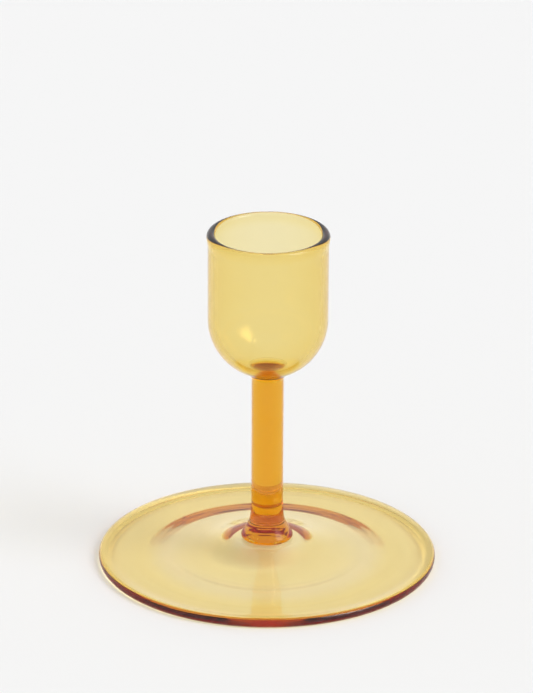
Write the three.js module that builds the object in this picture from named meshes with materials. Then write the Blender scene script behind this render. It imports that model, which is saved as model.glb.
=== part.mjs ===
// Glass candlestick: a round-bottomed cup for one taper candle, a solid rod stem with a flared
// foot, and a shallow domed disc base with a level brim. The three pieces are turned bodies
// that meet at two welds. Millimetres, +Z up, origin on the table at the centre of the base.
import * as THREE from 'three';

// Clearance left between the two faces of a weld.
const WELD_GAP = 0.3;

// Cup: a tube closed by a hemisphere, with a thickened, fire-polished lip.
const CUP_OUTER_RADIUS = 13.1;
const CUP_WALL = 1.5;
const CUP_BALL_HEIGHT = 56.84; // centre of the hemisphere
const LIP_RADIUS = 0.97; // of the lip's round section
const LIP_CENTRE_RADIUS = 12.4;
const LIP_CENTRE_HEIGHT = 75.83;
const LIP_BLEND = 1.8; // height over which the wall swells into the lip
const LIP_BLEND_ANGLE = 10; // how far below its widest point the lip's round section goes

// Stem: a solid rod that spreads where it meets the cup and again where it meets the base.
const ROD_RADIUS = 3.49;
const COLLAR_HEIGHT = 42.5; // the rod spreads into a collar above this
const COLLAR_RADIUS = 4.6; // of the collar's rim, under the cup
const COLLAR_RIM = 0.15; // thickness of that rim
const TAPER_HEIGHT = 14.0; // the rod starts to widen below this
const KNEE_RADIUS = 3.85;
const KNEE_HEIGHT = 9.6;
const FLARE_RADIUS = 4.45; // half way down the flare of the foot
const FLARE_HEIGHT = 7.6;
const FOOT_RADIUS = 5.66;
const FOOT_EDGE_RADIUS = 0.85; // of the foot's rounded edge
const FOOT_EDGE_HEIGHT = 5.8; // of the widest point
const FOOT_EDGE_ANGLE = 30; // how far above its widest point the rounded edge goes

// Base: a thin dome that runs out into a level brim with a rounded edge, hollow underneath.
const BASE_RADIUS = 37.03;
const BRIM_EDGE_RADIUS = 1.05; // of the brim's rounded edge
const BRIM_EDGE_ANGLE = 100; // how far round the edge goes before it runs into the top face
const BRIM_START = 32.5; // the brim swells into its edge from here on
const BRIM_TOP = 1.6;
const DOME_TOP = 5.15; // top face under the stem's foot
const DOME_CEILING = 4.45; // underside of the dome at the axis

// The two faces of the disc from the axis outwards: from each radius on, after a bend of the
// given length, the face falls by the given slope. The first slope follows from the heights.
const TOP_FACE = [
  { radius: 8.0, bend: 3.0 },
  { radius: 12.0, bend: 6.0, slope: 0.3 },
  { radius: 17.5, bend: 9.0, slope: 0.07 },
  { radius: 26.0, bend: 8.0, slope: 0.02 },
];
const UNDERSIDE = [
  { radius: 7.5, bend: 2.0 },
  { radius: 10.5, bend: 3.0, slope: 0.29 },
  { radius: 17.0, bend: 8.0, slope: 0.02 },
  { radius: 21.8, bend: 2.5, slope: 0.165 },
  { radius: 27.2, bend: 2.0, slope: 0 },
];

// Facets around each body.
const CUP_SEGMENTS = 48;
const STEM_SEGMENTS = 32;
const BASE_SEGMENTS = 72;

// Points are (radius, height) pairs in the half plane that is turned about the axis.
const point = (radius, height) => new THREE.Vector2(radius, height);

// Points along an arc, both ends included. Angles are in degrees from the outward direction.
function arc(centre, radius, fromAngle, toAngle, steps) {
  const points = [];
  for (let i = 0; i <= steps; i += 1) {
    const angle = THREE.MathUtils.degToRad(THREE.MathUtils.lerp(fromAngle, toAngle, i / steps));
    points.push(point(centre.x + radius * Math.cos(angle), centre.y + radius * Math.sin(angle)));
  }
  return points;
}

// Angle, in degrees, whose sine is the ratio of two lengths.
const arcsine = (offset, radius) => THREE.MathUtils.radToDeg(Math.asin(offset / radius));

// The end of an outline, put exactly on the axis.
const onAxis = (end) => point(0, end.y);

// A body turned from a closed profile that runs anticlockwise from the axis back to the axis.
function turned(name, profile, segments, material) {
  const mesh = new THREE.Mesh(new THREE.LatheGeometry(profile, segments), material);
  mesh.name = name;
  mesh.rotation.x = Math.PI / 2;
  return mesh;
}

function glass(color, opacity) {
  return new THREE.MeshStandardMaterial({ color, opacity, transparent: true, roughness: 0.03, metalness: 0 });
}

function candleCup() {
  const ball = point(0, CUP_BALL_HEIGHT);
  const innerRadius = CUP_OUTER_RADIUS - CUP_WALL;
  const lip = point(LIP_CENTRE_RADIUS, LIP_CENTRE_HEIGHT);
  const wallTop = LIP_CENTRE_HEIGHT - LIP_BLEND;
  const ballSteps = 12;
  const lipArc = arc(lip, LIP_RADIUS, -LIP_BLEND_ANGLE, 180 + LIP_BLEND_ANGLE, 10);
  const outerBall = arc(ball, CUP_OUTER_RADIUS, -90, 0, ballSteps);
  const innerBall = arc(ball, innerRadius, 0, -90, ballSteps);
  outerBall[0] = onAxis(outerBall[0]);
  innerBall.push(onAxis(innerBall.pop()));
  const outerWall = point(CUP_OUTER_RADIUS, wallTop);
  const innerWall = point(innerRadius, wallTop);
  const profile = [...outerBall, outerWall, ...lipArc, innerWall, ...innerBall];
  return turned('candle_cup', profile, CUP_SEGMENTS, glass(0xe8c050, 0.5));
}

function stem() {
  // The top is dished to the cup's round bottom, and a short collar carries it down to the rod.
  const ball = point(0, CUP_BALL_HEIGHT);
  const dishRadius = CUP_OUTER_RADIUS + WELD_GAP;
  const dishEdge = arcsine(COLLAR_RADIUS, dishRadius) - 90;
  const dish = arc(ball, dishRadius, dishEdge, -90, 4);
  dish.push(onAxis(dish.pop()));
  const collar = [point(ROD_RADIUS, COLLAR_HEIGHT), point(COLLAR_RADIUS, dish[0].y - COLLAR_RIM)];

  // The foot is a trumpet with a rounded edge, flat underneath.
  const edge = point(FOOT_RADIUS - FOOT_EDGE_RADIUS, FOOT_EDGE_HEIGHT);
  const footBottom = DOME_TOP + WELD_GAP;
  const lowAngle = arcsine(footBottom - edge.y, FOOT_EDGE_RADIUS);
  const edgeArc = arc(edge, FOOT_EDGE_RADIUS, lowAngle, FOOT_EDGE_ANGLE, 6);
  const flareEnds = [edgeArc[edgeArc.length - 1], point(KNEE_RADIUS, KNEE_HEIGHT)];
  const flare = new THREE.SplineCurve([flareEnds[0], point(FLARE_RADIUS, FLARE_HEIGHT), flareEnds[1]]);
  const rod = point(ROD_RADIUS, TAPER_HEIGHT);

  const profile = [point(0, footBottom), ...edgeArc, ...flare.getPoints(6).slice(1), rod, ...collar, ...dish];
  return turned('stem', profile, STEM_SEGMENTS, glass(0xe0a02a, 0.7));
}

// Zero inside a radius and the distance beyond it outside, with a parabolic bend between.
function hinge(radius, start, bend) {
  const x = radius - start + bend / 2;
  if (x <= 0) return 0;
  return x >= bend ? radius - start : (x * x) / (2 * bend);
}

// Height of a face of the disc that starts level at one height and ends level at another.
function faceHeight(radius, face, fromHeight, toHeight) {
  const laterFall = face.slice(1, -1).reduce((sum, part, i) => {
    return sum + part.slope * (face[i + 2].radius - part.radius);
  }, 0);
  const firstSlope = (fromHeight - toHeight - laterFall) / (face[1].radius - face[0].radius);
  let height = fromHeight;
  let slopeBefore = 0;
  face.forEach((part) => {
    const slope = part.slope ?? firstSlope;
    height -= (slope - slopeBefore) * hinge(radius, part.radius, part.bend);
    slopeBefore = slope;
  });
  return height;
}

function baseDisc() {
  const edge = point(BASE_RADIUS - BRIM_EDGE_RADIUS, BRIM_EDGE_RADIUS);
  const edgeArc = arc(edge, BRIM_EDGE_RADIUS, -90, BRIM_EDGE_ANGLE, 12);

  const steps = 26;
  const lastBend = UNDERSIDE[UNDERSIDE.length - 1];
  const brimFlat = lastBend.radius + lastBend.bend / 2; // the underside lies on the table outside this
  const domeStart = UNDERSIDE[0].radius - UNDERSIDE[0].bend / 2; // both faces are level inside this
  const underside = [];
  const top = [];
  for (let i = 0; i <= steps; i += 1) {
    const under = THREE.MathUtils.lerp(domeStart, brimFlat, i / steps);
    const over = THREE.MathUtils.lerp(domeStart, BRIM_START, i / steps);
    underside.push(point(under, Math.max(faceHeight(under, UNDERSIDE, DOME_CEILING, 0), 0)));
    top.push(point(over, faceHeight(over, TOP_FACE, DOME_TOP, BRIM_TOP)));
  }
  underside[steps].y = 0;
  const profile = [
    point(0, DOME_CEILING), ...underside, ...edgeArc, ...top.reverse(), point(0, DOME_TOP),
  ];
  return turned('base_disc', profile, BASE_SEGMENTS, glass(0xe8d090, 0.4));
}

const candlestick = new THREE.Group();
candlestick.add(baseDisc(), stem(), candleCup());

export default candlestick;
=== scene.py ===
"""Glass candlestick: cup, stem and base disc of clear amber glass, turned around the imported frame."""
import math

import bmesh
import bpy
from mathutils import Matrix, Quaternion, Vector, noise


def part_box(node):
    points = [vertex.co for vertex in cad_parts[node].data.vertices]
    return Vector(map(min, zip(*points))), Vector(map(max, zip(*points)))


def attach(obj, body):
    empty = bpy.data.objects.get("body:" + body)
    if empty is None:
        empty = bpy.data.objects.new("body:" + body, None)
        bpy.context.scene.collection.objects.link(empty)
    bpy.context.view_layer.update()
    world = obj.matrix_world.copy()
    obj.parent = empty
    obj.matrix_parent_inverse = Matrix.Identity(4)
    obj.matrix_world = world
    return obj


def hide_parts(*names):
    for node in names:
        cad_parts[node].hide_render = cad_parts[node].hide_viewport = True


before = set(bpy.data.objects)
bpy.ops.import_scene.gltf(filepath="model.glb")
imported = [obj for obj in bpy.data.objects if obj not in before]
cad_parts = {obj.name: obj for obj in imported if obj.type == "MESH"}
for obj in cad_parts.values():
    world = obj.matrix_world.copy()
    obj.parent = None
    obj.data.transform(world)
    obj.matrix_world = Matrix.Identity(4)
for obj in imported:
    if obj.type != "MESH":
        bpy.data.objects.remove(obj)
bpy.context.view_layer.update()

MM = 0.001

# ---------------------------------------------------------------- sizes in mm
cup_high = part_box("candle_cup")[1] / MM
stem_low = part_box("stem")[0] / MM
base_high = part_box("base_disc")[1] / MM

HEIGHT = cup_high.z
BASE_RADIUS = base_high.x
WELD_HEIGHT = (base_high.z + stem_low.z) / 2  # where the foot is fused to the disc

# Cup: a tube closed by a hemisphere, with a thickened lip.
CUP_RADIUS = 13.1
CUP_WALL = 1.5
BALL_HEIGHT = 56.84  # centre of the hemisphere
LIP_REACH = 13.37  # outer radius of the lip
LIP_SECTION = 0.97  # radius of the lip's round section
LIP_ANGLES = (-6, 186)  # the part of the section that shows
LIP_BLEND = 2.4  # height over which the wall swells into the lip
LIP_EASE_WALL = 0.8  # how far the swell holds the wall's direction
LIP_EASE_ROUND = 0.6  # and the lip's

# Stem: a solid rod with a small collar under the cup and a flared foot. Pairs are (radius, height).
ROD_RADIUS = 3.49
COLLAR_FILLET = 2.4  # hollow curve between the rod and the cup
COLLAR_RIM = 6  # degrees of that curve left off where it meets the cup
COLLAR_WELD = 4.2  # radius of the weld between the rod and the cup
TAPER_HEIGHT = 12.4  # the rod starts to widen below this
TAPER_HANDLES = ((3.67, 10.25), (3.5, 11.2))
KNEE = (3.85, 9.45)  # between the taper and the flare
FLARE_HANDLES = ((5.1, 7.0), (4.2, 8.3))
FOOT_RADIUS = 5.66
FOOT_EDGE = 0.85  # radius of the foot's rounded edge
FOOT_EDGE_HEIGHT = 5.8
FOOT_EDGE_ANGLE = 30  # how far the round edge goes before the flare

# Weld under the foot: whole in the middle, then a ragged ring with trapped air.
WELD_SOUND = 2.4  # radius without trapped air
WELD_REACH = 5.0
AIR_SCALE = 1.3  # of the noise that shapes the trapped air
AIR_ACROSS = 1.1  # its pace outwards
AIR_ROUND = 2.0  # its pace round the foot
AIR_LEAST = -0.25  # noise above this is fused at WELD_SOUND
AIR_RISE = 0.75  # and above this much more at WELD_REACH

# Base: a thin dome that runs out into a level brim, hollow underneath.
BEAD = 1.05  # radius of the brim's rounded edge
BEAD_TOP_ANGLE = 100  # how far the round section goes over the top
EDGE_START = 32.5  # the brim swells into the edge from here on
EDGE_EASE_ROUND = 0.4  # share of the swell that holds the round section's direction
EDGE_EASE_BRIM = 0.45  # and the brim's
BRIM_TOP = 1.6
DOME_THICKNESS = 0.85  # in the middle
# Slopes of the two surfaces: (from radius, length of the bend there, slope beyond it).
TOP_SLOPES = ((8.0, 3.0, None), (12.0, 6.0, 0.30), (17.5, 9.0, 0.07), (26.0, 8.0, 0.02))
UNDER_SLOPES = ((7.4, 1.6, None), (9.7, 2.0, 0.29), (17.0, 8.0, 0.02), (21.8, 2.5, 0.165), (27.2, 2.0, 0.0))
RIPPLE_HEIGHT = 0.004  # of the faint rings in the top face
RIPPLE_LENGTH = 1.7
RIPPLE_START = 9.0  # the rings grow from this radius
RIPPLE_GROWTH = 6.0  # to their full height over this length
RIPPLE_END = 3.0  # and fade over this length before the edge

WELD_GAP = 0.02  # between the two faces of a weld
FLOOR_GAP = 0.02  # film of air under the brim

# Points along the profiles, and facets round the axis.
ROUND = 192
BASE_ROUND = 288
BALL_STEPS = 80
DISH_STEPS = 40
ROUND_STEPS = 48  # the lip's and the brim's round sections
EDGE_STEPS = 24
SWELL_STEPS = 14
BRIM_SWELL_STEPS = 32
WALL_STEPS = 12
ROD_STEPS = 60
FOOT_STEPS = 30
FACE_STEPS = 120  # the disc's top and underside


# ---------------------------------------------------------------- profiles: (radius, height) in mm
def arc(centre, radius, start, end, steps):
    """Points on an arc, both ends included; degrees from the outward direction."""
    points = []
    for i in range(steps + 1):
        angle = math.radians(start + (end - start) * i / steps)
        points.append((centre[0] + radius * math.cos(angle), centre[1] + radius * math.sin(angle)))
    return points


def line(start, end, steps):
    """Evenly spaced points from start to end, both included."""
    return [
        tuple(a + (b - a) * i / steps for a, b in zip(start, end)) for i in range(steps + 1)
    ]


def bezier(a, b, c, d, steps):
    """Points on a cubic curve, both ends included."""
    points = []
    for i in range(steps + 1):
        t = i / steps
        w = ((1 - t) ** 3, 3 * t * (1 - t) ** 2, 3 * t * t * (1 - t), t**3)
        points.append(tuple(sum(wi * p[k] for wi, p in zip(w, (a, b, c, d))) for k in (0, 1)))
    return points


def without_doubles(points, least=1e-4):
    """The same outline with repeated points dropped."""
    kept = [points[0]]
    for p in points[1:]:
        if math.dist(p, kept[-1]) > least:
            kept.append(p)
    return kept


# ---------------------------------------------------------------- meshes
ON_AXIS = 1e-6
ON_FACE = 0.002  # how near a flat face counts as on it


def turned(name, profile, is_weld, around=ROUND):
    """A smooth closed body turned from a profile that runs anticlockwise from axis to axis.
    is_weld(radius, height, azimuth) says which of its faces are fused to a neighbour."""
    profile = without_doubles(profile)
    mesh = bpy.data.meshes.new(name)
    bm = bmesh.new()
    rings = []
    for radius, height in profile:
        if radius < ON_AXIS:
            rings.append([bm.verts.new((0, 0, height * MM))])
            continue
        ring = []
        for i in range(around):
            a = 2 * math.pi * i / around
            x, y = radius * MM * math.cos(a), radius * MM * math.sin(a)
            ring.append(bm.verts.new((x, y, height * MM)))
        rings.append(ring)
    for low, high in zip(rings, rings[1:]):
        for i in range(around):
            j = (i + 1) % around
            if len(low) == 1:
                bm.faces.new((low[0], high[j], high[i]))
            elif len(high) == 1:
                bm.faces.new((low[i], low[j], high[0]))
            else:
                bm.faces.new((low[i], low[j], high[j], high[i]))
    weld = bm.faces.layers.float.new("weld")
    for face in bm.faces:
        face.smooth = True
        centre = face.calc_center_median() / MM
        radius, azimuth = math.hypot(centre.x, centre.y), math.atan2(centre.y, centre.x)
        face[weld] = float(is_weld(radius, centre.z, azimuth))
    bm.to_mesh(mesh)
    bm.free()
    piece = bpy.data.objects.new(name, mesh)
    bpy.context.scene.collection.objects.link(piece)
    return piece


def fused_foot(radius, azimuth):
    """Whether the foot is fused to the disc there: all of its middle, then a ragged ring."""
    if radius < WELD_SOUND:
        return True
    spot = Vector((radius * AIR_ACROSS, AIR_ROUND * math.cos(azimuth), AIR_ROUND * math.sin(azimuth)))
    outwards = (radius - WELD_SOUND) / (WELD_REACH - WELD_SOUND)
    return radius < WELD_REACH and noise.noise(spot * AIR_SCALE) > AIR_LEAST + AIR_RISE * outwards


def make_cup():
    ball = (0, BALL_HEIGHT)
    inner = CUP_RADIUS - CUP_WALL
    lip = (LIP_REACH - LIP_SECTION, HEIGHT - LIP_SECTION)
    wall_top = lip[1] - LIP_BLEND
    outside = arc(ball, CUP_RADIUS, -90, 0, BALL_STEPS)
    outside[0] = (0, outside[0][1])
    inside = arc(ball, inner, 0, -90, BALL_STEPS)
    inside[-1] = (0, inside[-1][1])
    lip_arc = arc(lip, LIP_SECTION, *LIP_ANGLES, ROUND_STEPS)

    def swell(wall, lip_end):
        """From the wall's top, at that radius, up to one end of the lip's round section."""
        return bezier(
            (wall, wall_top),
            (wall, wall_top + LIP_EASE_WALL),
            (lip_end[0], lip_end[1] - LIP_EASE_ROUND),
            lip_end,
            SWELL_STEPS,
        )

    profile = outside + line(outside[-1], (CUP_RADIUS, wall_top), WALL_STEPS)
    profile += swell(CUP_RADIUS, lip_arc[0]) + lip_arc + swell(inner, lip_arc[-1])[::-1]
    profile += line((inner, wall_top), inside[0], WALL_STEPS) + inside

    def is_weld(radius, height, azimuth):
        return radius < COLLAR_WELD and math.dist((radius, height), ball) > CUP_RADIUS - CUP_WALL / 2

    return turned("candle_cup_glass", profile, is_weld)


def make_stem():
    ball = (0, BALL_HEIGHT)
    dish = CUP_RADIUS + WELD_GAP
    reach = CUP_RADIUS + COLLAR_FILLET
    across = ROD_RADIUS + COLLAR_FILLET
    fillet = (across, BALL_HEIGHT - math.sqrt(reach**2 - across**2))
    touch = math.degrees(math.atan2(BALL_HEIGHT - fillet[1], -fillet[0]))
    collar = arc(fillet, COLLAR_FILLET, 180, touch + COLLAR_RIM, EDGE_STEPS)
    rim_angle = math.degrees(math.asin(collar[-1][0] / dish)) - 90
    dished = arc(ball, dish, rim_angle, -90, DISH_STEPS)
    dished[-1] = (0, dished[-1][1])

    bottom = WELD_HEIGHT + WELD_GAP
    low = math.degrees(math.asin((bottom - FOOT_EDGE_HEIGHT) / FOOT_EDGE))
    edge = arc((FOOT_RADIUS - FOOT_EDGE, FOOT_EDGE_HEIGHT), FOOT_EDGE, low, FOOT_EDGE_ANGLE, EDGE_STEPS)
    flare = bezier(edge[-1], *FLARE_HANDLES, KNEE, EDGE_STEPS)
    taper = bezier(KNEE, *TAPER_HANDLES, (ROD_RADIUS, TAPER_HEIGHT), EDGE_STEPS)
    rod = line((ROD_RADIUS, TAPER_HEIGHT), collar[0], ROD_STEPS)
    profile = line((0, bottom), edge[0], FOOT_STEPS) + edge + flare + taper + rod + collar + dished

    def is_weld(radius, height, azimuth):
        if height < bottom + ON_FACE:
            return fused_foot(radius, azimuth)
        return radius < COLLAR_WELD and math.dist((radius, height), ball) < dish + ON_FACE

    return turned("stem_glass", profile, is_weld)


def hinge(radius, start, rounding):
    """0 inside start, and the distance beyond it outside, with a parabolic bend between."""
    x = radius - start + rounding / 2
    if x <= 0:
        return 0.0
    if x >= rounding:
        return radius - start
    return x * x / (2 * rounding)


def surface(radius, top, level, slopes):
    """Height of a surface that starts level at top and falls at the given slopes. The first slope
    is the one that brings it to level at the last radius."""
    later = sum(here[2] * (after[0] - here[0]) for here, after in zip(slopes[1:], slopes[2:]))
    first = (top - level - later) / (slopes[1][0] - slopes[0][0])
    height, before = top, 0.0
    for start, rounding, slope in slopes:
        slope = first if slope is None else slope
        height -= (slope - before) * hinge(radius, start, rounding)
        before = slope
    return height


def ripple(radius):
    """Faint rings left by the turning tool, which fade out under the foot and at the edge."""
    growth = (radius - RIPPLE_START) / RIPPLE_GROWTH
    fade = max(min(growth, (EDGE_START - radius) / RIPPLE_END, 1), 0)
    return RIPPLE_HEIGHT * fade * math.sin(2 * math.pi * radius / RIPPLE_LENGTH)


def make_base():
    under_top = WELD_HEIGHT - DOME_THICKNESS
    radii = [EDGE_START * i / FACE_STEPS for i in range(FACE_STEPS + 1)]
    under = [(r, max(surface(r, under_top, 0.0, UNDER_SLOPES), 0.0)) for r in radii]
    top = [(r, surface(r, WELD_HEIGHT, BRIM_TOP, TOP_SLOPES) + ripple(r)) for r in reversed(radii)]
    edge = arc((BASE_RADIUS - BEAD, BEAD), BEAD, -90, BEAD_TOP_ANGLE, ROUND_STEPS)
    over = edge[-1]
    reach = over[0] - EDGE_START
    lean = math.radians(BEAD_TOP_ANGLE - 90)
    ease = reach * EDGE_EASE_ROUND
    leaving = (over[0] - ease * math.cos(lean), over[1] - ease * math.sin(lean))
    swell = bezier(over, leaving, (EDGE_START + reach * EDGE_EASE_BRIM, top[0][1]), top[0], BRIM_SWELL_STEPS)
    profile = under + line((EDGE_START, 0), edge[0], WALL_STEPS) + edge + swell + top

    def is_weld(radius, height, azimuth):
        return height > WELD_HEIGHT - DOME_THICKNESS / 2 and fused_foot(radius, azimuth)

    return turned("base_disc_glass", profile, is_weld, BASE_ROUND)


# ---------------------------------------------------------------- glass
IOR = 1.47
# Absorption of red, green and blue light, per metre of glass.
ABSORPTION = {
    "cup_glass": (32, 104, 445),
    "stem_glass": (24, 134, 1150),
    "base_glass": (20, 79, 345),
}
LEAST_CLEAR = 0.08  # the strongest absorbed channel of the volume's colour


def glass(name, absorption):
    """Clear amber glass that absorbs through its thickness. Faces fused to a neighbour don't bend light."""
    material = bpy.data.materials.new(name)
    material.use_nodes = True
    nodes, links = material.node_tree.nodes, material.node_tree.links
    nodes.clear()
    out = nodes.new("ShaderNodeOutputMaterial")
    shader = nodes.new("ShaderNodeBsdfPrincipled")
    shader.inputs["Base Color"].default_value = (1, 1, 1, 1)
    shader.inputs["Roughness"].default_value = 0.0
    shader.inputs["IOR"].default_value = IOR
    shader.inputs["Transmission Weight"].default_value = 1.0
    volume = nodes.new("ShaderNodeVolumeAbsorption")
    density = max(absorption) / (1 - LEAST_CLEAR)
    volume.inputs["Color"].default_value = (*(1 - a / density for a in absorption), 1)
    volume.inputs["Density"].default_value = density
    weld = nodes.new("ShaderNodeAttribute")
    weld.attribute_name = "weld"
    ior = nodes.new("ShaderNodeMapRange")
    ior.inputs["To Min"].default_value = IOR
    ior.inputs["To Max"].default_value = 1.0
    links.new(weld.outputs["Fac"], ior.inputs["Value"])
    links.new(ior.outputs["Result"], shader.inputs["IOR"])
    links.new(shader.outputs["BSDF"], out.inputs["Surface"])
    links.new(volume.outputs["Volume"], out.inputs["Volume"])
    return material


# ---------------------------------------------------------------- studio
PITCH = math.radians(22.4)  # the camera looks down by this
LENS = 291.2
SENSOR = 36.0
DISTANCE = 1216.5
AIM_HEIGHT = 50.25
AIM_SIDE = -0.30
ROLL = 0.0048
CLIP = (0.05, 20.0)
FLOOR_REACH = 6.0  # metres
FLOOR_SIDES = 64
PAPER = (0.85, 0.85, 0.85, 1)


def make_camera():
    data = bpy.data.cameras.new("camera")
    data.lens = LENS
    data.sensor_width = SENSOR
    data.clip_start, data.clip_end = CLIP
    camera = bpy.data.objects.new("camera", data)
    back = Vector((0, -math.cos(PITCH), math.sin(PITCH)))
    camera.location = (Vector((AIM_SIDE, 0, AIM_HEIGHT)) + back * DISTANCE) * MM
    camera.rotation_mode = "QUATERNION"
    camera.rotation_quaternion = (-back).to_track_quat("-Z", "Y") @ Quaternion((0, 0, 1), ROLL)
    bpy.context.scene.collection.objects.link(camera)
    bpy.context.scene.camera = camera


def make_floor():
    bm = bmesh.new()
    bmesh.ops.create_circle(bm, cap_ends=True, radius=FLOOR_REACH, segments=FLOOR_SIDES)
    mesh = bpy.data.meshes.new("floor")
    bm.to_mesh(mesh)
    bm.free()
    floor = bpy.data.objects.new("floor", mesh)
    floor.location.z = -FLOOR_GAP * MM
    bpy.context.scene.collection.objects.link(floor)
    material = bpy.data.materials.new("floor_paper")
    material.use_nodes = True
    shader = material.node_tree.nodes["Principled BSDF"]
    shader.inputs["Base Color"].default_value = PAPER
    shader.inputs["Roughness"].default_value = 1.0
    shader.inputs["Specular IOR Level"].default_value = 0.0
    mesh.materials.append(material)


KEY_AZIMUTH = math.radians(-22)  # of the tall softbox, from the right towards the camera
KEY_LEAST_AHEAD = 0.001  # the softbox is drawn only on its own side of the object
# Where it fades from bright to dark, as tangents seen from the object.
KEY_SIDES = (0.02, 0.52)
KEY_FOOT = (0.30, 0.80)
KEY_HEAD = (1.25, 2.40)
KEY_STRENGTH = 5.6
DOME_STRENGTH = 0.83  # overhead
HORIZON_STRENGTH = 1.02
HORIZON_TOP = (0.05, 0.36)  # sine of the height at which it starts and ends giving way to the dome


def make_world():
    """A pale dome, brightest near the horizon, with one tall softbox standing on the right."""
    world = bpy.data.worlds.new("studio")
    world.use_nodes = True
    nodes, links = world.node_tree.nodes, world.node_tree.links
    nodes.clear()

    def math_node(operation, a, b=None):
        node = nodes.new("ShaderNodeMath")
        node.operation = operation
        for socket, value in zip(node.inputs, (a, b)):
            if value is None:
                continue
            if isinstance(value, (int, float)):
                socket.default_value = value
            else:
                links.new(value, socket)
        return node.outputs[0]

    def smooth(value, start, end, low=0.0, high=1.0):
        node = nodes.new("ShaderNodeMapRange")
        node.interpolation_type = "SMOOTHSTEP"
        links.new(value, node.inputs["Value"])
        for name, number in (("From Min", start), ("From Max", end), ("To Min", low), ("To Max", high)):
            node.inputs[name].default_value = number
        return node.outputs["Result"]

    direction = nodes.new("ShaderNodeTexCoord").outputs["Generated"]
    turn = nodes.new("ShaderNodeVectorRotate")
    turn.rotation_type = "Z_AXIS"
    turn.inputs["Angle"].default_value = -KEY_AZIMUTH
    links.new(direction, turn.inputs["Vector"])
    split = nodes.new("ShaderNodeSeparateXYZ")
    links.new(turn.outputs["Vector"], split.inputs[0])
    forward, across, up = split.outputs

    ahead = math_node("MAXIMUM", forward, KEY_LEAST_AHEAD)
    aside = math_node("ABSOLUTE", math_node("DIVIDE", across, ahead))
    above = math_node("DIVIDE", up, ahead)
    mask = smooth(aside, *KEY_SIDES, 1.0, 0.0)
    mask = math_node("MULTIPLY", mask, smooth(above, *KEY_FOOT))
    mask = math_node("MULTIPLY", mask, smooth(above, *KEY_HEAD, 1.0, 0.0))
    mask = math_node("MULTIPLY", mask, math_node("GREATER_THAN", forward, KEY_LEAST_AHEAD))
    dome = smooth(up, *HORIZON_TOP, HORIZON_STRENGTH, DOME_STRENGTH)
    total = math_node("ADD", dome, math_node("MULTIPLY", mask, KEY_STRENGTH))

    out = nodes.new("ShaderNodeOutputWorld")
    back = nodes.new("ShaderNodeBackground")
    back.inputs["Color"].default_value = (1, 1, 1, 1)
    links.new(total, back.inputs["Strength"])
    links.new(back.outputs["Background"], out.inputs["Surface"])
    bpy.context.scene.world = world


def main():
    pieces = {
        "base_disc": make_base(),
        "stem": make_stem(),
        "candle_cup": make_cup(),
    }
    slots = {"base_disc": "base_glass", "stem": "stem_glass", "candle_cup": "cup_glass"}
    for node, piece in pieces.items():
        piece.data.materials.append(glass("amber_" + slots[node], ABSORPTION[slots[node]]))
        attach(piece, "root")
        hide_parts(node)

    make_floor()
    make_world()
    make_camera()
    scene = bpy.context.scene
    scene.view_settings.view_transform = "Standard"
    # Light crosses many faces of clear glass, and its glow on the floor keeps its shape.
    scene.cycles.max_bounces = 48
    scene.cycles.transmission_bounces = 48
    scene.cycles.glossy_bounces = 24
    scene.cycles.diffuse_bounces = 16
    scene.cycles.blur_glossy = 0.0


main()
